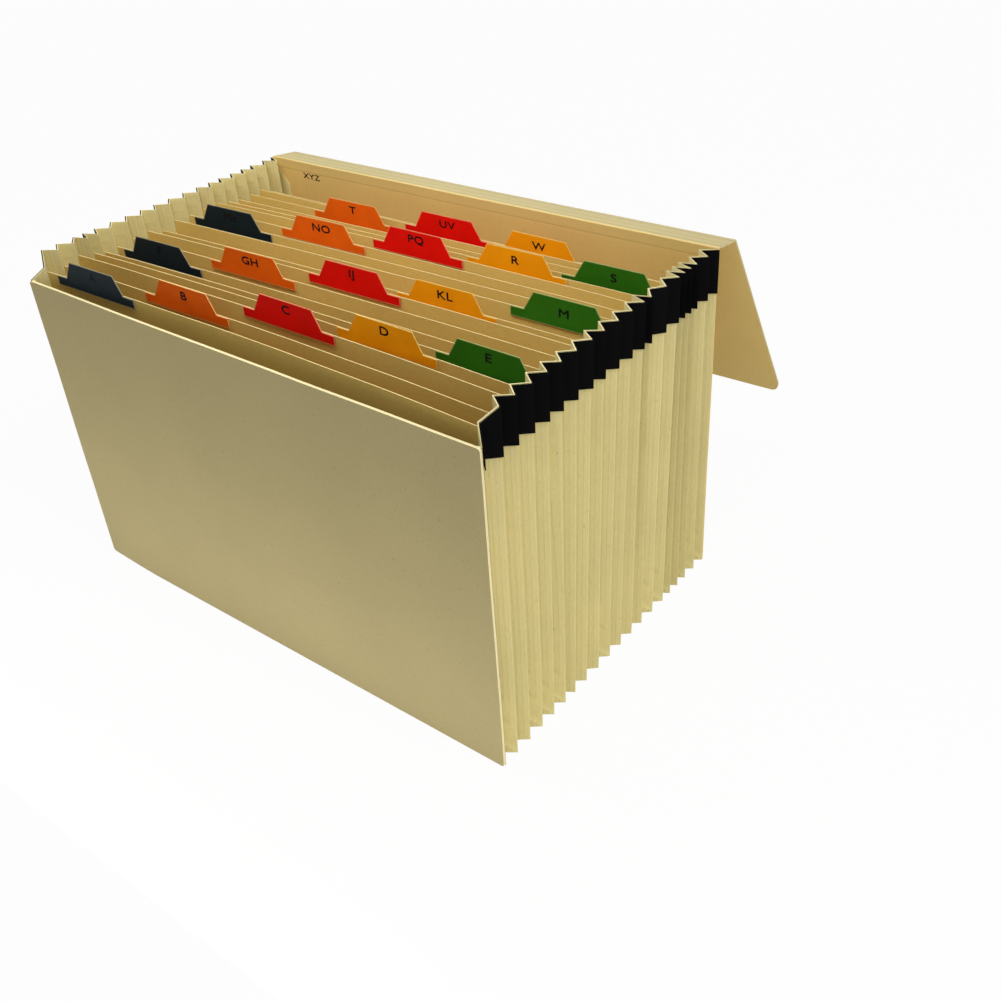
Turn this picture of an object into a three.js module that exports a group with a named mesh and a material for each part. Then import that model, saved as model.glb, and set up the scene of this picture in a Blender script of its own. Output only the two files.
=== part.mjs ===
// An expanding file of manila card, fanned open and standing on its bottom folds.
// Millimetres, +Z up, +X to the right of someone facing the front panel, +Y to the back.
import * as THREE from 'three';
import { mergeVertices } from 'three/addons/utils/BufferGeometryUtils.js';

// The whole file
const fileWidth = 375;
const gussetHeight = 241;
const fanDepth = 228.5;
const fanYaw = THREE.MathUtils.degToRad(2.2);
const fanLean = THREE.MathUtils.degToRad(0.95);

// Front and back boards, the band over the top and the cover flap
const frontPanelHeight = 225;
const frontPanelThickness = 1.8;
const frontCornerRadius = 2;
const coverThickness = 1.2;
const bandWidth = 25;
const bandDroop = THREE.MathUtils.degToRad(10);
const bandLowest = THREE.MathUtils.degToRad(35);
const flapFold = THREE.MathUtils.degToRad(48.4);
const flapLength = 187;
const flapCornerWidth = 8;
const flapCornerLength = 15;
const foldGap = 0.3;

// Pleated gusset. Each pleat opens by its own share of the fan's depth, front to back.
const pleatLeg = 10.5;
const gussetPaper = 0.9;
const glueFlange = 15;
const flangeThickness = 0.5;
const flangeDrop = 3;
const rightTopShares = [15, 13, 14, 13.5, 12.5, 14, 14.5, 12, 14, 14, 13, 7.5, 16.5, 14.5, 7, 7, 7, 13, 12];
const rightFootShares = [12, 13, 13, 12.5, 12.5, 11, 13, 14, 13.5, 13.5, 13.5, 13, 14, 14, 10, 10.5, 10.5, 12.5, 12.5];
const leftTopShares = [13, 11.5, 13.5, 7.5, 9.5, 13.5, 12.5, 13, 11.5, 13.5, 13, 13, 11.5, 10, 11.5, 10.5, 9.5, 12.5, 9];
const leftFootShares = [12, 12, 12.5, 10, 11, 12.5, 12, 12.5, 12, 12, 12, 12, 11.5, 11, 11.5, 11, 11, 12, 10.5];

// Cloth tape on the outside of the gusset's top edge
const tapeHeight = 29;
const tapeThickness = 0.8;
const tapeGap = 0.6;
const tapeTopSetback = 0.4;

// Divider sheets, one in each inward fold from the front, and the tabs on them
const sheetThickness = 0.6;
const sheetGap = 0.4;
const bowFlatness = 0.75;
const tabRise = 12;
const tabFootDepth = 6;
const tabTopWidth = 42;
const tabSlant = 7;
const tabStep = 9.5;
const tabThickness = 0.5;
const tabGap = 0.3;
const tabEdgeMargin = 0.8;

// Each tab's centre is a share of half the file's width, and its lift over the gusset's height is a
// share of the tab's own rise. Its sheet bows backwards between the folds by a share of a pleat's leg.
const indexTabs = [
  { name: 'a', colour: 'blue', centre: -0.689, lift: 0.099, bow: 0.48 },
  { name: 'b', colour: 'orange', centre: -0.313, lift: 0.05, bow: 0.48 },
  { name: 'c', colour: 'red', centre: 0.086, lift: 0.284, bow: 0.48 },
  { name: 'd', colour: 'amber', centre: 0.431, lift: 0.116, bow: 0.48 },
  { name: 'e', colour: 'green', centre: 0.774, lift: -0.084, bow: 0.38 },
  { name: 'f', colour: 'blue', centre: -0.711, lift: -0.125, bow: 0.29 },
  { name: 'gh', colour: 'orange', centre: -0.338, lift: -0.019, bow: 0.33 },
  { name: 'ij', colour: 'red', centre: 0.056, lift: 0.062, bow: 0.38 },
  { name: 'kl', colour: 'amber', centre: 0.388, lift: -0.267, bow: 0.29 },
  { name: 'm', colour: 'green', centre: 0.789, lift: 0.011, bow: 0.24 },
  { name: 'mc', colour: 'blue', centre: -0.717, lift: -0.05, bow: 0.24 },
  { name: 'no', colour: 'orange', centre: -0.332, lift: -0.016, bow: 0.29 },
  { name: 'pq', colour: 'red', centre: 0.044, lift: 0.015, bow: 0.38 },
  { name: 'r', colour: 'amber', centre: 0.413, lift: -0.206, bow: 0.19 },
  { name: 's', colour: 'green', centre: 0.76, lift: -0.376, bow: 0.1 },
  { name: 't', colour: 'orange', centre: -0.392, lift: -0.319, bow: 0.05 },
  { name: 'uv', colour: 'red', centre: 0.016, lift: -0.287, bow: 0.05 },
  { name: 'w', colour: 'amber', centre: 0.372, lift: -0.7, bow: 0.1 },
];

const colours = {
  frontBoard: 0xb4a277,
  backBoard: 0xc9b67f,
  gusset: 0xd0bf88,
  sheet: 0xc8a35a,
  tape: 0x0b0b0d,
  blue: 0x142230,
  orange: 0xd4540f,
  red: 0xc60d08,
  amber: 0xe48c02,
  green: 0x1f5a12,
};

const half = fileWidth / 2;
const foldStart = frontPanelThickness / 2 + foldGap;
const tapeFoot = gussetHeight - tapeHeight;
const sheetSeat = gussetPaper + sheetGap;

// The plane that the gusset's last fold lies in, a little turned and leaning forward.
function backPlane(x, z) {
  return foldStart + fanDepth + Math.tan(fanYaw) * x - Math.tan(fanLean) * z;
}

// One corner of the fan seen from above: every fold's distance back (y) and its inset from
// the outer folds. Outer and inner folds alternate, and both legs of a pleat are as long.
function foldPlaces(shares, depth) {
  const total = shares.reduce((sum, share) => sum + share, 0);
  const places = [{ y: foldStart, inset: 0 }];
  let y = foldStart;
  for (const share of shares) {
    const opening = depth * share / total;
    const halfOpening = Math.min(opening / 2, pleatLeg);
    places.push({ y: y + opening / 2, inset: Math.sqrt(pleatLeg ** 2 - halfOpening ** 2) });
    y += opening;
    places.push({ y, inset: 0 });
  }
  return places;
}

const corners = {
  right: {
    side: 1,
    top: foldPlaces(rightTopShares, backPlane(half, gussetHeight) - foldStart),
    foot: foldPlaces(rightFootShares, backPlane(half, 0) - foldStart),
  },
  left: {
    side: -1,
    top: foldPlaces(leftTopShares, backPlane(-half, gussetHeight) - foldStart),
    foot: foldPlaces(leftFootShares, backPlane(-half, 0) - foldStart),
  },
};
const foldCount = corners.right.top.length;

// Where fold number i of one side is at height z.
function foldAt(corner, i, z) {
  const share = z / gussetHeight;
  return {
    y: THREE.MathUtils.lerp(corner.foot[i].y, corner.top[i].y, share),
    inset: THREE.MathUtils.lerp(corner.foot[i].inset, corner.top[i].inset, share),
  };
}

// The gusset's top edge rises from the front board to its full height over the first pleat.
function gussetTop(i) {
  return THREE.MathUtils.lerp(frontPanelHeight, gussetHeight, Math.min(i / 2, 1));
}

// A closed solid between two grids of points with the same rows and columns.
function shellGeometry(outer, inner) {
  const rows = outer.length;
  const columns = outer[0].length;
  const points = [...outer.flat(), ...inner.flat()];
  const indices = [];
  const at = (layer, row, column) => layer * rows * columns + row * columns + column;
  const quad = (a, b, c, d) => indices.push(a, b, c, a, c, d);
  for (let row = 0; row < rows - 1; row += 1) {
    for (let column = 0; column < columns - 1; column += 1) {
      quad(at(0, row, column), at(0, row, column + 1), at(0, row + 1, column + 1), at(0, row + 1, column));
      quad(at(1, row, column), at(1, row + 1, column), at(1, row + 1, column + 1), at(1, row, column + 1));
    }
  }
  for (let column = 0; column < columns - 1; column += 1) {
    const last = rows - 1;
    quad(at(0, 0, column), at(1, 0, column), at(1, 0, column + 1), at(0, 0, column + 1));
    quad(at(0, last, column), at(0, last, column + 1), at(1, last, column + 1), at(1, last, column));
  }
  for (let row = 0; row < rows - 1; row += 1) {
    const last = columns - 1;
    quad(at(0, row, 0), at(0, row + 1, 0), at(1, row + 1, 0), at(1, row, 0));
    quad(at(0, row, last), at(1, row, last), at(1, row + 1, last), at(0, row + 1, last));
  }
  const geometry = new THREE.BufferGeometry();
  geometry.setAttribute('position', new THREE.Float32BufferAttribute(points.flatMap((p) => p.toArray()), 3));
  geometry.setIndex(indices);
  return facingOut(geometry);
}

// Turns every face over if the solid's volume comes out negative.
function facingOut(geometry) {
  const position = geometry.getAttribute('position');
  const index = geometry.getIndex();
  const [a, b, c] = [new THREE.Vector3(), new THREE.Vector3(), new THREE.Vector3()];
  let volume = 0;
  for (let i = 0; i < index.count; i += 3) {
    a.fromBufferAttribute(position, index.getX(i));
    b.fromBufferAttribute(position, index.getX(i + 1));
    c.fromBufferAttribute(position, index.getX(i + 2));
    volume += a.dot(b.cross(c));
  }
  if (volume < 0) {
    geometry.setIndex(Array.from(index.array).reverse());
  }
  return geometry;
}

// A point on one side wall of the gusset, from its height and its inset.
function sidePoint(corner, y, inset, z) {
  return new THREE.Vector3(corner.side * (half - inset), y, z);
}

// The gusset's folds at one height: a glue flange behind the front board, the pleats, and a
// glue flange before the back board. The outer skin is the folds' own line.
function outerFolds(corner, z) {
  const folds = [{ y: foldStart, inset: glueFlange }];
  for (let i = 0; i < foldCount; i += 1) {
    folds.push(foldAt(corner, i, z));
  }
  folds.push({ y: folds.at(-1).y - corner.side * Math.tan(fanYaw) * glueFlange, inset: glueFlange });
  return folds;
}

// The inner skin lies one paper further in, and its flanges one flange thickness away.
function innerFolds(corner, z) {
  const folds = outerFolds(corner, z).map((fold) => ({ y: fold.y, inset: fold.inset + gussetPaper }));
  const last = folds.length - 1;
  const front = folds[2].inset - folds[1].inset;
  const back = folds[last - 2].inset - folds[last - 1].inset;
  const frontShift = front * flangeThickness / (folds[2].y - folds[1].y);
  const backShift = back * flangeThickness / (folds[last - 1].y - folds[last - 2].y);
  folds[0] = { y: folds[0].y + flangeThickness, inset: glueFlange };
  folds[1] = { y: folds[1].y + flangeThickness, inset: gussetPaper + frontShift };
  folds[last - 1] = { y: folds[last - 1].y - flangeThickness, inset: gussetPaper + backShift };
  folds[last] = { y: folds[last].y - flangeThickness, inset: glueFlange };
  return folds;
}

// Heights of the stations up a side wall. The lowest follows each fold's own inset, which
// mitres the corner between the wall and the bottom.
const wallLevels = [tapeFoot / 3, tapeFoot * 2 / 3, tapeFoot];

function foldTop(foldNumber) {
  const beyond = foldNumber < 1 || foldNumber > foldCount;
  return beyond ? frontPanelHeight - flangeDrop : gussetTop(foldNumber - 1);
}

function wallStations(corner, foldsAt) {
  const mitre = foldsAt(corner, 0).map((fold) => sidePoint(corner, fold.y, fold.inset, fold.inset));
  const walls = wallLevels.map((z) => (
    foldsAt(corner, z).map((fold) => sidePoint(corner, fold.y, fold.inset, z))
  ));
  const top = foldsAt(corner, gussetHeight).map((_, i) => {
    const fold = foldsAt(corner, foldTop(i))[i];
    return sidePoint(corner, fold.y, fold.inset, foldTop(i));
  });
  return [mitre, ...walls, top];
}

function gussetGrid(foldsAt) {
  const rightWall = wallStations(corners.right, foldsAt).reverse();
  const leftWall = wallStations(corners.left, foldsAt);
  return [...rightWall, ...leftWall];
}

function gussetGeometry() {
  return shellGeometry(gussetGrid(outerFolds), gussetGrid(innerFolds));
}

// The tape follows the outside of the pleats, from its lower edge to just below the top. Its
// rows run the way the gusset's do on that side, so that their faces stay parallel.
function tapeGrid(corner, inset) {
  const rowAt = (heightOf) => corner.top.map((_, i) => {
    const z = heightOf(i);
    const fold = foldAt(corner, i, z);
    return sidePoint(corner, fold.y, fold.inset + inset, z);
  });
  const rows = [rowAt(() => tapeFoot), rowAt((i) => gussetTop(i) - tapeTopSetback)];
  return corner.side > 0 ? rows.reverse() : rows;
}

function tapeGeometry(corner) {
  return shellGeometry(tapeGrid(corner, -tapeGap - tapeThickness), tapeGrid(corner, -tapeGap));
}

// Divider sheets. Each hangs in inner fold i on both sides and stands on the bottom's fold.
const sheetColumns = 12;
const sheetRows = 4;

function sheetPoint(i, x, z, offset) {
  const left = foldAt(corners.left, i, z).y;
  const right = foldAt(corners.right, i, z).y;
  const across = (x + half) / fileWidth;
  const reach = indexTabs[(i - 1) / 2].bow * pleatLeg;
  const bow = reach * Math.max(0, Math.sin(Math.PI * across)) ** bowFlatness;
  const y = THREE.MathUtils.lerp(left, right, across) + bow * z / gussetHeight + offset;
  return new THREE.Vector3(x, y, z);
}

function sheetEdge(corner, i, z) {
  return corner.side * (half - foldAt(corner, i, z).inset - sheetSeat);
}

function sheetGrid(i, top, offset) {
  const rows = [];
  const foot = (x) => sheetSeat + THREE.MathUtils.lerp(
    corners.left.foot[i].inset,
    corners.right.foot[i].inset,
    (x + half) / fileWidth,
  );
  for (let row = 0; row <= sheetRows; row += 1) {
    const level = foot(0) + (top - foot(0)) * row / sheetRows;
    const left = sheetEdge(corners.left, i, level);
    const right = sheetEdge(corners.right, i, level);
    const points = [];
    for (let column = 0; column <= sheetColumns; column += 1) {
      const x = THREE.MathUtils.lerp(left, right, column / sheetColumns);
      points.push(sheetPoint(i, x, row === 0 ? foot(x) : level, offset));
    }
    rows.push(points);
  }
  return rows;
}

function sheetGeometry(i, top) {
  return shellGeometry(sheetGrid(i, top, -sheetThickness / 2), sheetGrid(i, top, sheetThickness / 2));
}

// A sheet's top edge carries its tab, which rises from there to its own top.
function sheetTop(tab) {
  return gussetHeight + (tab.lift - 1) * tabRise;
}

// A tab's outline seen from the front: a trapezoid on a longer foot strip.
function tabOutline(tab, i) {
  const foot = sheetTop(tab);
  const centre = tab.centre * half;
  const limit = sheetEdge(corners.right, i, foot) - tabEdgeMargin;
  const across = (distance) => Math.min(centre + distance, limit);
  const shape = new THREE.Shape();
  shape.moveTo(centre - tabTopWidth / 2, foot + tabRise);
  shape.lineTo(across(-tabTopWidth / 2 - tabSlant), foot);
  shape.lineTo(across(-tabTopWidth / 2 - tabSlant - tabStep), foot);
  shape.lineTo(across(-tabTopWidth / 2 - tabSlant - tabStep), foot - tabFootDepth);
  shape.lineTo(across(tabTopWidth / 2 + tabSlant + tabStep), foot - tabFootDepth);
  shape.lineTo(across(tabTopWidth / 2 + tabSlant + tabStep), foot);
  shape.lineTo(across(tabTopWidth / 2 + tabSlant), foot);
  shape.lineTo(centre + tabTopWidth / 2, foot + tabRise);
  return shape;
}

// The extruded outline is laid on its sheet's front face, with its depth running forward.
function tabGeometry(tab, i) {
  const flat = new THREE.ExtrudeGeometry(tabOutline(tab, i), { depth: tabThickness, bevelEnabled: false });
  flat.deleteAttribute('normal');
  flat.deleteAttribute('uv');
  const geometry = mergeVertices(flat);
  const position = geometry.getAttribute('position');
  for (let n = 0; n < position.count; n += 1) {
    const forward = -sheetThickness / 2 - tabGap - position.getZ(n);
    const point = sheetPoint(i, position.getX(n), position.getY(n), forward);
    position.setXYZ(n, point.x, point.y, point.z);
  }
  return facingOut(geometry);
}

// A board standing on the ground, with small round corners, from its outer face backwards.
function boardGeometry(height, thickness, radius) {
  const shape = new THREE.Shape();
  const quarter = Math.PI / 2;
  shape.moveTo(-half + radius, 0);
  shape.absarc(half - radius, radius, radius, -quarter, 0);
  shape.absarc(half - radius, height - radius, radius, 0, quarter);
  shape.absarc(-half + radius, height - radius, radius, quarter, 2 * quarter);
  shape.absarc(-half + radius, radius, radius, 2 * quarter, 3 * quarter);
  const geometry = new THREE.ExtrudeGeometry(shape, { depth: thickness, bevelEnabled: false, curveSegments: 4 });
  return geometry.rotateX(quarter).translate(0, thickness, 0);
}

// The back board's top edge is half round about the first fold's line.
function backBoardGeometry(height) {
  const radius = coverThickness / 2;
  const shape = new THREE.Shape();
  shape.moveTo(-radius, 0);
  shape.lineTo(radius, 0);
  shape.lineTo(radius, height);
  shape.absarc(0, height, radius, 0, Math.PI);
  return acrossTheFile(shape);
}

// The band between the two folds, with half-round long edges. y runs from fold to fold.
function bandGeometry(start, end) {
  const radius = coverThickness / 2;
  const quarter = Math.PI / 2;
  const shape = new THREE.Shape();
  shape.moveTo(start, -radius);
  shape.lineTo(end, -radius);
  shape.absarc(end, 0, radius, -quarter, quarter);
  shape.absarc(start, 0, radius, quarter, 3 * quarter);
  return acrossTheFile(shape);
}

// Extrudes a section drawn in the y and z directions across the file's width.
function acrossTheFile(shape) {
  const geometry = new THREE.ExtrudeGeometry(shape, { depth: fileWidth, bevelEnabled: false, curveSegments: 6 });
  geometry.rotateX(Math.PI / 2).rotateZ(Math.PI / 2);
  return geometry.translate(-half, 0, 0);
}

// The cover flap lies flat here, running back from its fold, with small elliptical corners.
function flapGeometry(start) {
  const side = flapLength - flapCornerLength;
  const inner = half - flapCornerWidth;
  const shape = new THREE.Shape();
  shape.moveTo(-half, start);
  shape.lineTo(half, start);
  shape.lineTo(half, side);
  shape.absellipse(inner, side, flapCornerWidth, flapCornerLength, 0, Math.PI / 2);
  shape.absellipse(-inner, side, flapCornerWidth, flapCornerLength, Math.PI / 2, Math.PI);
  const options = { depth: coverThickness, bevelEnabled: false, curveSegments: 10 };
  return new THREE.ExtrudeGeometry(shape, options).translate(0, 0, -coverThickness / 2);
}

function mesh(name, geometry, color, roughness) {
  const piece = new THREE.Mesh(geometry, new THREE.MeshStandardMaterial({ color, roughness, metalness: 0 }));
  piece.name = name;
  return piece;
}

const cardRoughness = 0.85;
const tabRoughness = 0.45;
const clothRoughness = 0.9;

// The back board, the band and the flap follow each other from fold to fold.
function backAssembly() {
  const board = new THREE.Group();
  board.position.set(0, backPlane(0, 0) + foldGap + coverThickness / 2, 0);
  board.rotation.set(fanLean, 0, fanYaw, 'ZYX');
  board.add(mesh('back_panel', backBoardGeometry(gussetHeight), colours.backBoard, cardRoughness));

  const band = new THREE.Group();
  band.position.set(0, 0, gussetHeight);
  band.rotation.x = -bandDroop;
  const bandStart = (coverThickness + foldGap) / Math.cos(bandLowest);
  const bandEnd = bandWidth - coverThickness / 2;
  band.add(mesh('top_band', bandGeometry(bandStart, bandEnd), colours.backBoard, cardRoughness));
  board.add(band);

  const flap = new THREE.Group();
  flap.position.set(0, bandEnd, 0);
  flap.rotation.x = -flapFold;
  const flapStart = coverThickness / 2 + foldGap;
  flap.add(mesh('cover_flap', flapGeometry(flapStart), colours.backBoard, cardRoughness));
  band.add(flap);
  return board;
}

function buildFile() {
  const file = new THREE.Group();
  const front = mesh(
    'front_panel',
    boardGeometry(frontPanelHeight, frontPanelThickness, frontCornerRadius),
    colours.frontBoard,
    cardRoughness,
  );
  front.position.y = -frontPanelThickness / 2;
  file.add(front);
  file.add(mesh('pleated_gusset', gussetGeometry(), colours.gusset, cardRoughness));
  file.add(mesh('gusset_tape_right', tapeGeometry(corners.right), colours.tape, clothRoughness));
  file.add(mesh('gusset_tape_left', tapeGeometry(corners.left), colours.tape, clothRoughness));
  indexTabs.forEach((tab, n) => {
    const fold = 2 * n + 1;
    file.add(mesh(`divider_${tab.name}`, sheetGeometry(fold, sheetTop(tab)), colours.sheet, cardRoughness));
    file.add(mesh(`tab_${tab.name}`, tabGeometry(tab, fold), colours[tab.colour], tabRoughness));
  });
  file.add(backAssembly());
  return file;
}

// The origin is on the ground, at the middle of the whole file's outline from above.
const file = buildFile();
const outline = new THREE.Box3().setFromObject(file, true);
file.position.set(
  -(outline.min.x + outline.max.x) / 2,
  -(outline.min.y + outline.max.y) / 2,
  -outline.min.z,
);
const expandingFile = new THREE.Group();
expandingFile.add(file);

export default expandingFile;
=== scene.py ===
"""An expanding file of manila card, fanned open on a plain pale floor."""
import math

import bmesh
import bpy
from mathutils import Euler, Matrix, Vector, noise
from mathutils.bvhtree import BVHTree


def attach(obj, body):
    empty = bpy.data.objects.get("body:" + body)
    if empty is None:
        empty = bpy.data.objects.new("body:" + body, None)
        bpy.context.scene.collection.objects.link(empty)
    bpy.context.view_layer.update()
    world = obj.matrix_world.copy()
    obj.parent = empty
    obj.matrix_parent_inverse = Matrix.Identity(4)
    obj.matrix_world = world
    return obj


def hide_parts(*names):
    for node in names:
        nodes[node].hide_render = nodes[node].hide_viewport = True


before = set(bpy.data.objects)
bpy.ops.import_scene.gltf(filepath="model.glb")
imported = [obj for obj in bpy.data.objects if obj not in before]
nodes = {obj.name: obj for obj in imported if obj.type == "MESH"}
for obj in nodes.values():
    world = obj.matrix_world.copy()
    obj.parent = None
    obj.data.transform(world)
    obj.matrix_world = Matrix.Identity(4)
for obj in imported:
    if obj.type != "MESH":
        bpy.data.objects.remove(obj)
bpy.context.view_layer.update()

MM = 0.001

# The index tabs from front to back, with the colour of each
INDEX_TABS = {
    "a": "blue", "b": "orange", "c": "red", "d": "amber", "e": "green", "f": "blue",
    "gh": "orange", "ij": "red", "kl": "amber", "m": "green", "mc": "blue", "no": "orange",
    "pq": "red", "r": "amber", "s": "green", "t": "orange", "uv": "red", "w": "amber",
}

# Colours, in screen numbers
TAB_COLOURS = {
    "blue": (17, 30, 36),
    "orange": (240, 103, 12),
    "red": (232, 13, 3),
    "amber": (255, 163, 6),
    "green": (44, 106, 14),
}
# The front board's card is painted darker than the same card on the band and flap: painted shade
SHADED_BOARD = (196, 182, 133)
COVER = (214, 200, 150)
LINING = (226, 194, 120)
# The card's outside, lighter and warmer than the front board's outside of the same card: its own colour
# with painted warm bounce light in it
OUTSIDE_WITH_WARM_LIGHT = (242, 216, 142)
GUSSET = (218, 206, 148)
SHEET = (232, 200, 112)
CUT_EDGE = (240, 228, 180)
SHEET_EDGE = (230, 209, 152)
TAPE = (5, 4, 6)
INK = (11, 9, 9)

# How finely faces are cut so that they can bend
CARD_STEP = 12 * MM
TAB_STEP = 8 * MM
TAPE_STEP = 6 * MM

# A point on the fold between the back board and the band, and the way the band runs from it
FOLD_ORIGIN = Vector((1.56, 47.75, 240.98)) * MM
BAND_DIRECTION = Vector((-0.0379, 0.9852, -0.1676))
BAND_WIDTH = 25 * MM

# The stretch below the fold in which the back board's lining ends
LINING_END = 20 * MM


def linear(colour):
    """A colour given in screen numbers, as the shader takes it."""
    channels = [c / 255 for c in colour]
    values = [c / 12.92 if c <= 0.04045 else ((c + 0.055) / 1.055) ** 2.4 for c in channels]
    return (*values, 1)


def shaded(colour, factor):
    """A colour made darker or lighter, within what a screen shows."""
    return tuple(max(0, min(255, c * factor)) for c in colour)


# Materials

class Shader:
    """A material's node tree with the principled shader and object coordinates."""

    def __init__(self, name, roughness, specular=0.5):
        self.material = bpy.data.materials.new(name)
        self.material.use_nodes = True
        self.nodes = self.material.node_tree.nodes
        self.links = self.material.node_tree.links
        self.surface = self.nodes["Principled BSDF"]
        self.surface.inputs["Roughness"].default_value = roughness
        self.surface.inputs["Specular IOR Level"].default_value = specular
        self.coordinates = self.nodes.new("ShaderNodeTexCoord").outputs["Object"]

    def link(self, source, target):
        self.links.new(source, target)

    def stretched(self, scale):
        mapping = self.nodes.new("ShaderNodeMapping")
        mapping.inputs["Scale"].default_value = scale
        self.link(self.coordinates, mapping.inputs["Vector"])
        return mapping.outputs["Vector"]

    def noise(self, scale, detail=3, stretch=(1, 1, 1)):
        node = self.nodes.new("ShaderNodeTexNoise")
        node.inputs["Scale"].default_value = scale
        node.inputs["Detail"].default_value = detail
        self.link(self.stretched(stretch), node.inputs["Vector"])
        return node.outputs["Fac"]

    def ramp(self, source, stops):
        node = self.nodes.new("ShaderNodeValToRGB")
        elements = node.color_ramp.elements
        while len(elements) < len(stops):
            elements.new(0.5)
        for element, (place, colour) in zip(elements, stops):
            element.position = place
            element.color = colour
        self.link(source, node.inputs["Fac"])
        return node.outputs["Color"]

    def feed(self, socket, source):
        """Gives a socket another node's output, or a plain value."""
        if isinstance(source, bpy.types.NodeSocket):
            self.link(source, socket)
        else:
            socket.default_value = source

    def multiply(self, factor, first, second):
        """One colour times another, as far as the factor says."""
        node = self.nodes.new("ShaderNodeMix")
        node.data_type = "RGBA"
        node.blend_type = "MULTIPLY"
        self.feed(node.inputs[0], factor)
        self.feed(node.inputs[6], first)
        self.feed(node.inputs[7], second)
        return node.outputs[2]

    def maths(self, operation, first, second):
        node = self.nodes.new("ShaderNodeMath")
        node.operation = operation
        self.feed(node.inputs[0], first)
        self.feed(node.inputs[1], second)
        return node.outputs[0]

    def attribute(self, name):
        node = self.nodes.new("ShaderNodeAttribute")
        node.attribute_name = name
        return node.outputs["Fac"]

    def distance(self, origin, direction, length):
        """How far a point lies from the origin in a direction, as a share of the length."""
        direction = Vector(direction) / length
        node = self.nodes.new("ShaderNodeVectorMath")
        node.operation = "DOT_PRODUCT"
        self.link(self.coordinates, node.inputs[0])
        node.inputs[1].default_value = direction
        return self.maths("SUBTRACT", node.outputs["Value"], Vector(origin).dot(direction))

    def lines(self, source, stops):
        """Tones along a distance: each stop is a place, a factor on the colour and its warmth."""
        tones = []
        for place, tone, warmth in stops:
            tones.append((place, (tone, tone * warmth, tone * warmth ** 2, 1)))
        return self.ramp(source, tones)

    def colour(self, source):
        self.link(source, self.surface.inputs["Base Color"])

    def roughness(self, source, low, high):
        node = self.nodes.new("ShaderNodeMapRange")
        node.inputs["To Min"].default_value = low
        node.inputs["To Max"].default_value = high
        self.link(source, node.inputs["Value"])
        self.link(node.outputs["Result"], self.surface.inputs["Roughness"])

    def bump(self, source, distance, strength=1.0):
        node = self.nodes.new("ShaderNodeBump")
        node.inputs["Distance"].default_value = distance
        node.inputs["Strength"].default_value = strength
        self.link(source, node.inputs["Height"])
        self.link(node.outputs["Normal"], self.surface.inputs["Normal"])


def card(name, colour, spread=0.015, grain=(1, 1, 1), roughness=(0.72, 0.88), bump=0.00004, painted_crease_light=None):
    """Card or paper: cloudy tone, short fibres and a few darker flecks, with a fine tooth.

    Its last argument gives the painted shade and painted highlights of its folds and score lines from the
    shader, if it has any.
    """
    shader = Shader(name, 0.8, 0.3)
    clouds = shader.noise(16, 2)
    fibres = shader.noise(900, 2, grain)
    flecks = shader.noise(420, 1)
    tone = shader.ramp(clouds, [
        (0.3, linear(shaded(colour, 1 - spread))),
        (0.7, linear(shaded(colour, 1 + spread / 2))),
    ])
    fibre_tone = shader.ramp(fibres, [(0.35, (0.95, 0.94, 0.92, 1)), (0.65, (1, 1, 1, 1))])
    fleck_tone = shader.ramp(flecks, [(0.22, (0.8, 0.74, 0.62, 1)), (0.27, (1, 1, 1, 1))])
    fibrous = shader.multiply(1.0, tone, fibre_tone)
    flecked = shader.multiply(0.7, fibrous, fleck_tone)
    # Folds and score lines get their painted shade and painted highlights here
    shader.colour(shader.multiply(1.0, flecked, painted_crease_light(shader)) if painted_crease_light else flecked)
    shader.roughness(fibres, *roughness)
    shader.bump(fibres, bump, 0.6)
    return shader.material


def book_cloth(name, colour):
    """Woven binding tape: threads run up the gusset and across it."""
    shader = Shader(name, 0.8, 0.05)
    weave = []
    for direction in ("Z", "Y"):
        wave = shader.nodes.new("ShaderNodeTexWave")
        wave.wave_type = "BANDS"
        wave.bands_direction = direction
        wave.inputs["Scale"].default_value = 420
        wave.inputs["Distortion"].default_value = 0.6
        wave.inputs["Detail"].default_value = 1
        shader.link(shader.coordinates, wave.inputs["Vector"])
        weave.append(wave.outputs["Fac"])
    threads = shader.maths("MULTIPLY", *weave)
    wear = shader.noise(60, 3)
    tone = shader.ramp(threads, [(0, linear(shaded(colour, 0.6))), (1, linear(shaded(colour, 1.6)))])
    worn = shader.ramp(wear, [(0.4, (0.7, 0.7, 0.7, 1)), (0.75, (1.25, 1.2, 1.15, 1))])
    shader.colour(shader.multiply(1.0, tone, worn))
    shader.roughness(wear, 0.6, 0.85)
    shader.bump(threads, 0.00006, 0.5)
    return shader.material


def pressboard(name, colour):
    """Coloured, lacquered tab card: even colour with a faint mottle and a satin gloss."""
    shader = Shader(name, 0.6, 0.12)
    clouds = shader.noise(60, 2)
    tooth = shader.noise(1500, 2)
    shader.colour(shader.ramp(clouds, [
        (0.3, linear(shaded(colour, 0.97))),
        (0.7, linear(shaded(colour, 1.02))),
    ]))
    shader.roughness(clouds, 0.55, 0.68)
    shader.bump(tooth, 0.00002, 0.4)
    return shader.material


def ink(name, colour):
    """Printing ink that covers a little unevenly."""
    shader = Shader(name, 0.7, 0.1)
    coverage = shader.noise(1200, 2)
    shader.colour(shader.ramp(coverage, [
        (0.3, linear(colour)),
        (0.75, linear(shaded(colour, 1.5))),
    ]))
    shader.roughness(coverage, 0.6, 0.8)
    return shader.material


def painted_pleat_fold_light(shader):
    """Painted shade darkens the inner folds, a painted highlight lightens the outer folds, and faint
    score lines lie between as painted shade with a painted highlight beside each.
    """
    return shader.lines(shader.attribute("fold"), [
        (0, 0.7, 0.95), (0.06, 0.96, 0.99), (0.3, 1, 1), (0.35, 0.9, 0.98), (0.4, 1.02, 1),
        (0.6, 1, 1), (0.65, 0.92, 0.99), (0.7, 1.03, 1), (0.9, 1, 1), (0.95, 1.07, 1.01), (1, 1.12, 1.03),
    ])


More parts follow.
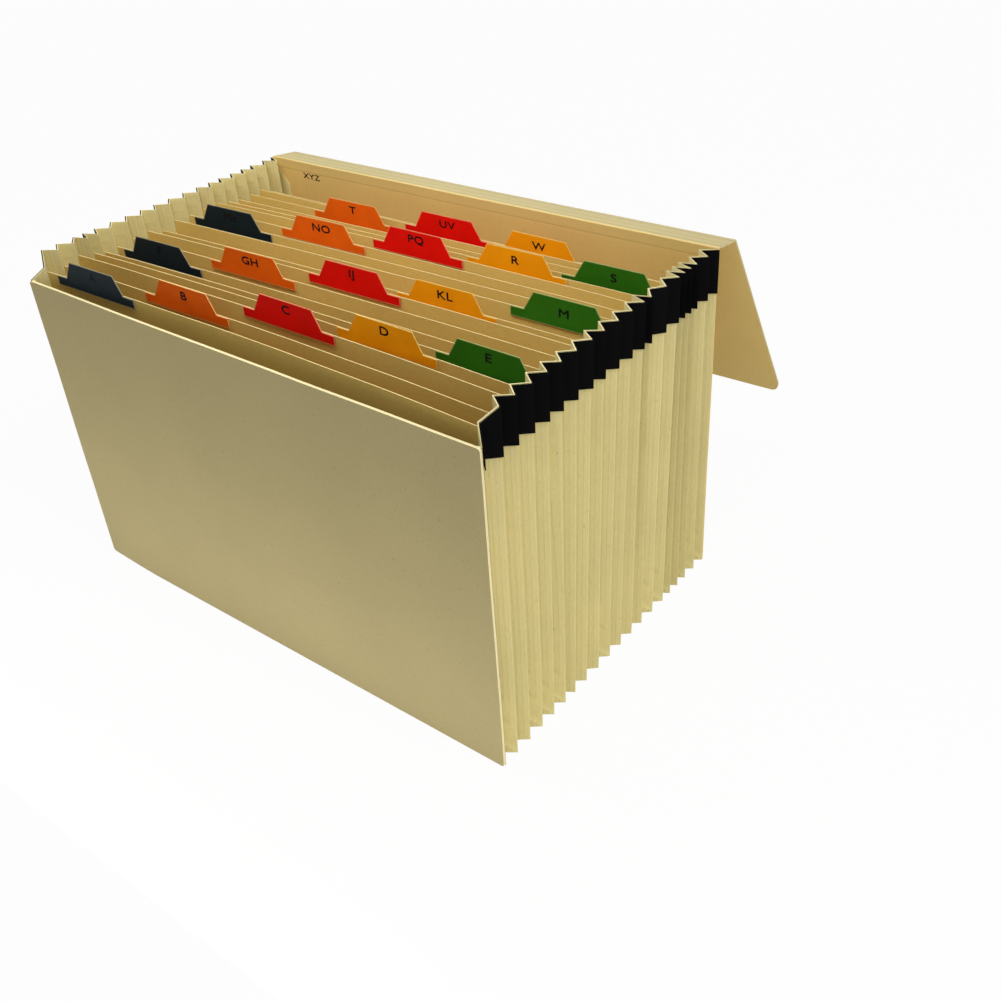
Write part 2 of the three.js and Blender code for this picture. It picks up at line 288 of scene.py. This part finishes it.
def painted_band_score_light(shader):
    """Score lines run along the band, beside both of its folds and down its middle, each painted as a
    line of shade with a painted highlight beside it; the folds themselves get a painted highlight.
    """
    return shader.lines(shader.distance(FOLD_ORIGIN, BAND_DIRECTION, BAND_WIDTH), [
        (0, 1.04, 1), (0.12, 1, 1), (0.17, 0.8, 0.97), (0.23, 1.02, 1), (0.42, 1, 1), (0.47, 0.88, 0.98),
        (0.52, 1.03, 1), (0.78, 1, 1), (0.83, 0.88, 0.98), (0.88, 1.03, 1), (1, 1.02, 1),
    ])


def painted_lining_edge_light(shader):
    """The lining of the back board ends a little below the fold. Its edge is painted as a line of shade
    with a painted highlight below it, and painted shade darkens the card towards the fold.
    """
    return shader.lines(shader.distance(FOLD_ORIGIN, (0, 0, -1), LINING_END), [
        (0, 0.9, 1.03), (0.28, 0.97, 1.02), (0.32, 0.8, 0.97), (0.37, 1.05, 1.01), (0.4, 1, 1), (1, 1, 1),
    ])


def tab_edge(name, colour):
    """The cut edge of a tab: the tab's colour with more than half of the pale core in it."""
    mixed = tuple(0.45 * dyed + 0.55 * core for dyed, core in zip(colour, CUT_EDGE))
    return card(f"tab_edge_{name}", mixed, 0.03)


edge_card = card("cut_edge", CUT_EDGE, 0.02, (1, 1, 1), (0.8, 0.92), 0.00006)
sheet_edge_card = card("sheet_edge", SHEET_EDGE, 0.02, (1, 1, 1), (0.8, 0.92), 0.00006)
# The front board's card carries painted shade
painted_shade_board_card = card("front_board_card_in_painted_shade", SHADED_BOARD)
cover_card = card("cover_board_card", COVER)
# The band, the back board's lining and the gusset carry painted shade and painted highlights at their
# folds and score lines
band_card = card("band_card", COVER, painted_crease_light=painted_band_score_light)
# The outside faces carry painted warm bounce light on the card's own colour
outside_card_in_painted_warm_light = card("outside_card_in_painted_warm_light", OUTSIDE_WITH_WARM_LIGHT)
back_lining_card = card("back_lining_card", LINING, painted_crease_light=painted_lining_edge_light)
gusset_card = card("gusset_card", GUSSET, 0.02, (1, 1, 0.25), painted_crease_light=painted_pleat_fold_light)
sheet_card = card("divider_sheet_card", SHEET, 0.02, (0.3, 1, 1))
tape_cloth = book_cloth("black_book_cloth", TAPE)
tab_cards = {name: pressboard(f"tab_card_{name}", colour) for name, colour in TAB_COLOURS.items()}
tab_edges = {name: tab_edge(name, colour) for name, colour in TAB_COLOURS.items()}
print_ink = ink("index_ink", INK)


# Shapes

DRIFT_SEED = 11
noise.seed_set(DRIFT_SEED)


def drift(point):
    """How far paper at this point strays from true: slow waves, with small ones on them."""
    slow = noise.noise_vector(point * 13 + Vector((3.1, 7.7, 1.3)))
    small = noise.noise_vector(point * 38 + Vector((9.4, 2.2, 5.8)))
    move = slow * 0.45 * MM + small * 0.14 * MM
    lift = min(max(point.z / (25 * MM), 0), 1)
    return Vector((move.x * 0.5, move.y, move.z * 0.3)) * lift


def new_piece(name, bm, materials, body, replaced=()):
    """A piece from bmesh geometry, placed as the nodes are, that rides on its body."""
    for vert in bm.verts:
        vert.co += drift(vert.co)
    mesh = bpy.data.meshes.new(name)
    bm.normal_update()
    bm.to_mesh(mesh)
    bm.free()
    if "custom_normal" in mesh.attributes:
        mesh.attributes.remove(mesh.attributes["custom_normal"])
    mesh.polygons.foreach_set("use_smooth", [True] * len(mesh.polygons))
    mesh.set_sharp_from_angle(angle=math.radians(28))
    for material in materials:
        mesh.materials.append(material)
    piece = bpy.data.objects.new(name, mesh)
    bpy.context.scene.collection.objects.link(piece)
    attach(piece, body)
    if replaced:
        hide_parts(*replaced)
    return piece


def node_mesh(name, flat_within):
    """A copy of a node's solid, its triangles joined into faces where they are flat."""
    bm = bmesh.new()
    bm.from_mesh(nodes[name].data)
    bmesh.ops.remove_doubles(bm, verts=bm.verts, dist=0.001 * MM)
    bmesh.ops.dissolve_limit(bm, angle_limit=math.radians(flat_within), verts=bm.verts, edges=bm.edges)
    return bm


def slice_along(bm, direction, step):
    """Cuts the faces by evenly spaced planes, so that they can bend."""
    normal = Vector(direction).normalized()
    reach = [vert.co.dot(normal) for vert in bm.verts]
    low, high = min(reach), max(reach)
    count = max(1, round((high - low) / step))
    for i in range(1, count):
        place = normal * (low + (high - low) * i / count)
        geometry = bm.verts[:] + bm.edges[:] + bm.faces[:]
        bmesh.ops.bisect_plane(bm, geom=geometry, plane_co=place, plane_no=normal, dist=0.0005 * MM)


def slice_card(bm):
    """Cuts a card that stands upright across its width and its height."""
    slice_along(bm, (1, 0, 0), CARD_STEP)
    slice_along(bm, (0, 0, 1), CARD_STEP)


def mark_edges(bm, is_edge):
    """Gives the second material to the faces that is_edge picks, such as a card's cut edges."""
    bm.normal_update()
    for face in bm.faces:
        face.material_index = 1 if is_edge(face) else 0


# Front board. Its lower left corner is worn up a little.
WORN_LENGTH = 50 * MM
WORN_LIFT = 3 * MM
bm = node_mesh("front_panel", 0.5)
slice_card(bm)
mark_edges(bm, lambda face: abs(face.normal.y) < 0.7)
corner = min(vert.co.x for vert in bm.verts)
for vert in bm.verts:
    along = max(0, 1 - (vert.co.x - corner) / WORN_LENGTH)
    up = max(0, 1 - vert.co.z / WORN_LENGTH)
    vert.co.z += WORN_LIFT * along ** 1.3 * up
new_piece("front_board", bm, [painted_shade_board_card, edge_card], "file", ["front_panel"])


def mark_folds(bm):
    """Writes how far each point lies from an inner fold, at 0, to an outer fold, at 1."""
    layer = bm.verts.layers.float.new("fold")
    bm.normal_update()
    for vert in bm.verts:
        vert[layer] = 0.5
    for edge in bm.edges:
        if len(edge.link_faces) != 2 or edge.calc_length() <= 8 * MM:
            continue
        bend = edge.calc_face_angle_signed(0)
        between_legs = all(face.calc_area() > 60 * MM * MM for face in edge.link_faces)
        if abs(bend) > math.radians(30) and between_legs:
            for vert in edge.verts:
                vert[layer] = 1 if bend > 0 else 0


def add_corner_tucks(bm, thickness):
    """At each lower corner the strip's spare paper hangs on in the plane of the pleat's leg."""
    layer = bm.verts.layers.float["fold"]
    bm.normal_update()
    seams = []
    for edge in bm.edges:
        low, high = sorted(edge.verts, key=lambda vert: vert.co.z)
        outward = math.copysign(1, low.co.x)
        inset = (low.co.x - high.co.x) * outward
        if low.co.z < 1 * MM and 4 * MM < high.co.z < 12 * MM and inset > 4 * MM:
            legs = [face for face in edge.link_faces if abs(face.normal.z) < 0.3]
            if legs and legs[0].normal.x * outward > 0.2:
                seams.append((low.co.copy(), high.co.copy(), legs[0].normal.copy()))
    for low, high, normal in seams:
        outer = [low, Vector((high.x, high.y, low.z)), high]
        rows = []
        for depth in (0, thickness):
            corners = [bm.verts.new(point - normal * depth) for point in outer]
            for vert, fold in zip(corners, (1, 0, 0)):
                vert[layer] = fold
            rows.append(corners)
        front, back = rows
        bm.faces.new(front)
        bm.faces.new(reversed(back))
        for i in range(3):
            bm.faces.new((front[i], back[i], back[(i + 1) % 3], front[(i + 1) % 3]))
    bmesh.ops.recalc_face_normals(bm, faces=bm.faces)


# Pleated gusset. Its cut edge faces up, above the pockets.
TOP_EDGE_FROM = 215 * MM
bm = node_mesh("pleated_gusset", 0.05)
mark_folds(bm)
add_corner_tucks(bm, 0.5 * MM)
slice_card(bm)
mark_edges(bm, lambda face: face.normal.z > 0.6 and face.calc_center_median().z > TOP_EDGE_FROM)
new_piece("gusset_paper", bm, [gusset_card, edge_card], "file", ["pleated_gusset"])

# Black tape on the gusset's top edge
for side in ("right", "left"):
    bm = node_mesh(f"gusset_tape_{side}", 0.05)
    slice_along(bm, (0, 0, 1), TAPE_STEP)
    new_piece(f"edge_tape_{side}", bm, [tape_cloth], "file", [f"gusset_tape_{side}"])

# Divider sheets
for letter in INDEX_TABS:
    bm = node_mesh(f"divider_{letter}", 0.05)
    slice_card(bm)
    mark_edges(bm, lambda face: abs(face.normal.y) < 0.7)
    materials = [sheet_card, sheet_edge_card]
    new_piece(f"sheet_{letter}", bm, materials, "file", [f"divider_{letter}"])

# Index tabs, with the pale rim of the cut card showing
RIM = 0.4 * MM
for letter, colour in INDEX_TABS.items():
    bm = node_mesh(f"tab_{letter}", 3)
    faces = [face for face in bm.faces if abs(face.normal.y) > 0.7]
    mark_edges(bm, lambda face: True)
    bmesh.ops.inset_region(bm, faces=faces, thickness=RIM, use_even_offset=True, use_boundary=True)
    for face in faces:
        face.material_index = 0
    slice_along(bm, (1, 0, 0), TAB_STEP)
    new_piece(
        f"index_tab_{letter}", bm, [tab_cards[colour], tab_edges[colour]],
        "file", [f"tab_{letter}"],
    )


def embolden(bm, amount):
    """Widens the strokes of flat letters: each point moves out along the side faces it is on."""
    bm.normal_update()
    moves = []
    for vert in bm.verts:
        out = Vector((0, 0, 0))
        for face in vert.link_faces:
            if abs(face.normal.z) < 0.5:
                out += face.normal
        out.z = 0
        moves.append(out.normalized() * amount if out.length > 0.1 else Vector((0, 0, 0)))
    for vert, move in zip(bm.verts, moves):
        vert.co += move


# Letters. A font's capitals are a share of its size, and these are drawn broad and bold.
CAP_SHARE = 0.7
LETTER_WIDTH = 1.4
BOLDNESS = 0.04
INK_LIFT = 0.03 * MM


def lettering(name, text, centre_x, centre_z, cap_height, surface):
    """Letters printed on the front of a node: each point lies just off its surface."""
    curve = bpy.data.curves.new(name, "FONT")
    curve.body = text
    curve.align_x = "CENTER"
    curve.align_y = "CENTER"
    curve.size = cap_height / CAP_SHARE
    curve.space_character = 1.05
    curve.extrude = 0.02 * MM
    curve.resolution_u = 4
    letters = bpy.data.objects.new(name, curve)
    bpy.context.scene.collection.objects.link(letters)
    bpy.context.view_layer.update()
    shaped = letters.evaluated_get(bpy.context.evaluated_depsgraph_get())
    mesh = bpy.data.meshes.new_from_object(shaped)
    bpy.data.objects.remove(letters)
    bm = bmesh.new()
    bm.from_mesh(mesh)
    bmesh.ops.remove_doubles(bm, verts=bm.verts, dist=0.001 * MM)
    for vert in bm.verts:
        vert.co.x *= LETTER_WIDTH
    embolden(bm, BOLDNESS * cap_height)
    low = min(vert.co.y for vert in bm.verts)
    high = max(vert.co.y for vert in bm.verts)
    solid = nodes[surface].data
    points = [vert.co for vert in solid.vertices]
    tree = BVHTree.FromPolygons(points, [face.vertices for face in solid.polygons])
    for vert in bm.verts:
        start = Vector((centre_x + vert.co.x, -1, centre_z + vert.co.y - (low + high) / 2))
        hit = tree.ray_cast(start, Vector((0, 1, 0)))[0]
        vert.co = Vector((start.x, hit.y - INK_LIFT - vert.co.z, start.z))
    return new_piece(name, bm, [print_ink], "file")


# The tabs' letters hang below the crown, some a little lower or higher than the rest.
CAP_HEIGHT = 5.1 * MM
CAP_DROP = 3.4 * MM
EXTRA_DROPS = {"m": 2.6 * MM, "w": 0.8 * MM, "r": 1.0 * MM, "s": 1.2 * MM, "c": -0.8 * MM, "d": -1.0 * MM}
for letter in INDEX_TABS:
    tab = nodes[f"tab_{letter}"]
    top = max(vert.co.z for vert in tab.data.vertices)
    crown = [vert.co.x for vert in tab.data.vertices if vert.co.z > top - 0.5 * MM]
    middle = (min(crown) + max(crown)) / 2
    text = "Mc" if letter == "mc" else letter.upper()
    drop = CAP_DROP + EXTRA_DROPS.get(letter, 0) + CAP_HEIGHT / 2
    lettering(f"letters_{letter}", text, middle, top - drop, CAP_HEIGHT, f"tab_{letter}")

# The last pocket's letters are printed on the back board.
LAST_LETTERS_X = -147 * MM
LAST_LETTERS_Z = 231.5 * MM
LAST_CAP_HEIGHT = 4.2 * MM
lettering("letters_xyz", "XYZ", LAST_LETTERS_X, LAST_LETTERS_Z, LAST_CAP_HEIGHT, "back_panel")

# Back board, band and flap. As they stand open, the outside faces the front and the ground.
for node, name, body, materials in (
    ("back_panel", "back_board", "file", [outside_card_in_painted_warm_light, back_lining_card]),
    ("top_band", "over_band", "band", [band_card, outside_card_in_painted_warm_light]),
    ("cover_flap", "front_flap", "flap", [cover_card, outside_card_in_painted_warm_light]),
):
    bm = node_mesh(node, 0.5)
    slice_along(bm, (1, 0, 0), CARD_STEP)
    if body != "band":
        slice_along(bm, (0, 0, 1), CARD_STEP)
    mark_edges(bm, lambda face: face.normal.y < -0.5 or face.normal.z < -0.9)
    new_piece(name, bm, materials, body, [node])


# Stage, light and camera

def white_for_the_camera(tree, lit, output, socket):
    """Adds a mix to a tree. Camera, glossy and transmission rays see what is linked to the socket
    that it returns, and all other rays see what lit gives."""
    path = tree.nodes.new("ShaderNodeLightPath")
    seen = tree.nodes.new("ShaderNodeMath")
    seen.operation = "MAXIMUM"
    tree.links.new(path.outputs["Is Camera Ray"], seen.inputs[0])
    tree.links.new(path.outputs["Is Glossy Ray"], seen.inputs[1])
    also = tree.nodes.new("ShaderNodeMath")
    also.operation = "MAXIMUM"
    tree.links.new(seen.outputs[0], also.inputs[0])
    tree.links.new(path.outputs["Is Transmission Ray"], also.inputs[1])
    mix = tree.nodes.new("ShaderNodeMixShader")
    tree.links.new(also.outputs[0], mix.inputs["Fac"])
    tree.links.new(lit, mix.inputs[1])
    tree.links.new(mix.outputs["Shader"], output.inputs[socket])
    return mix.inputs[2]


# Floor: white with a faint shade, and a pale grey in the light that it throws back
FLOOR_HALF = 6.0
FLOOR_GREY = (0.86, 0.86, 0.85, 1)
FLOOR_WHITE_SHARE = 0.96
floor_mesh = bpy.data.meshes.new("floor")
floor_mesh.from_pydata(
    [(x * FLOOR_HALF, y * FLOOR_HALF, 0) for x, y in ((-1, -1), (1, -1), (1, 1), (-1, 1))],
    [], [(0, 1, 2, 3)],
)
floor = bpy.data.objects.new("floor", floor_mesh)
bpy.context.scene.collection.objects.link(floor)
floor_material = bpy.data.materials.new("pale_floor")
floor_material.use_nodes = True
tree = floor_material.node_tree
surface = tree.nodes["Principled BSDF"]
surface.inputs["Base Color"].default_value = FLOOR_GREY
surface.inputs["Roughness"].default_value = 0.9
bright = tree.nodes.new("ShaderNodeEmission")
bright.inputs["Strength"].default_value = 1
part_white = tree.nodes.new("ShaderNodeMixShader")
part_white.inputs["Fac"].default_value = FLOOR_WHITE_SHARE
tree.links.new(surface.outputs["BSDF"], part_white.inputs[1])
tree.links.new(bright.outputs["Emission"], part_white.inputs[2])
target = white_for_the_camera(tree, surface.outputs["BSDF"], tree.nodes["Material Output"], "Surface")
tree.links.new(part_white.outputs["Shader"], target)
floor_mesh.materials.append(floor_material)

# Surroundings: white to the eye, a dim even light on the object
AMBIENT = 0.235
world = bpy.data.worlds.new("studio")
bpy.context.scene.world = world
world.use_nodes = True
tree = world.node_tree
ambient = tree.nodes["Background"]
ambient.inputs["Color"].default_value = (1, 0.99, 0.97, 1)
ambient.inputs["Strength"].default_value = AMBIENT
white = tree.nodes.new("ShaderNodeBackground")
white.inputs["Color"].default_value = (1, 1, 1, 1)
white.inputs["Strength"].default_value = 1
target = white_for_the_camera(tree, ambient.outputs["Background"], tree.nodes["World Output"], "Surface")
tree.links.new(white.outputs["Background"], target)


LAMP_COLOUR = (1, 0.985, 0.95)


def add_lamp(name, kind, energy, place, toward):
    """A lamp that shines from its place toward a point, and that the camera doesn't see."""
    light = bpy.data.lights.new(name, kind)
    light.energy = energy
    light.color = LAMP_COLOUR
    lamp = bpy.data.objects.new(name, light)
    lamp.location = place
    lamp.rotation_euler = (Vector(place) - Vector(toward)).to_track_quat("Z", "Y").to_euler()
    lamp.visible_camera = False
    bpy.context.scene.collection.objects.link(lamp)
    return light


def add_panel(name, energy, place, toward, width, height):
    """A lamp with a rectangular face."""
    panel = add_lamp(name, "AREA", energy, place, toward)
    panel.shape = "RECTANGLE"
    panel.size = width
    panel.size_y = height


key = add_lamp("soft_key", "SUN", 1.0, (0.74, 0.06, 0.6), (0, 0, 0))
key.angle = math.radians(30)
add_panel("overhead_strip", 1.6, (0, -0.17, 0.56), (0, 0.05, 0.2), 0.6, 0.15)
add_panel("low_fill", 0.26, (-0.02, -0.36, 0.02), (-0.02, -0.175, 0.0), 0.7, 0.05)
side_fill = add_lamp("side_fill", "AREA", 0.75, (0.7, -0.25, 0.18), (0.18, 0.0, 0.14))
side_fill.shape = "DISK"
side_fill.size = 0.25

CAMERA_PLACE = (488.58 * MM, -528.38 * MM, 520.08 * MM)
CAMERA_TURN = (54.6106, 3.1237, 37.4065)
camera_data = bpy.data.cameras.new("camera")
camera_data.lens = 40.82
camera_data.sensor_width = 36
camera = bpy.data.objects.new("camera", camera_data)
camera.location = CAMERA_PLACE
camera.rotation_euler = Euler([math.radians(angle) for angle in CAMERA_TURN], "XYZ")
bpy.context.scene.collection.objects.link(camera)
bpy.context.scene.camera = camera

bpy.context.scene.view_settings.view_transform = "Standard"
